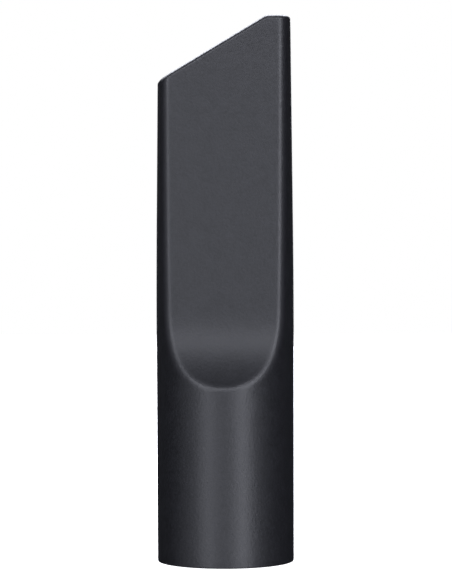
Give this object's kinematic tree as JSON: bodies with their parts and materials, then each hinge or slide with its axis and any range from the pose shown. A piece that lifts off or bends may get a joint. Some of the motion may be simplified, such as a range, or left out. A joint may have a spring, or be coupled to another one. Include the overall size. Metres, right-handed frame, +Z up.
{
  "type": "vacuum crevice nozzle",
  "caption": "Crevice nozzle: a round push-on socket narrows through scooped shoulders into a flat hollow blade with a slanted open mouth.",
  "frame": {"origin": "centre of the socket's rim, at the bottom of the part", "axes": "+Z up the socket's axis to the mouth, the flat faces look along -Y and +Y, and the mouth is highest on the +X side"},
  "size_m": [0.0362, 0.0362, 0.1435],
  "materials": {
    "moulded_plastic": "fine moulded grain, slightly blue dark grey, soft sheen"
  },
  "bodies": {
    "root": {"nozzle_body": "moulded_plastic"}
  },
  "joints": []
}
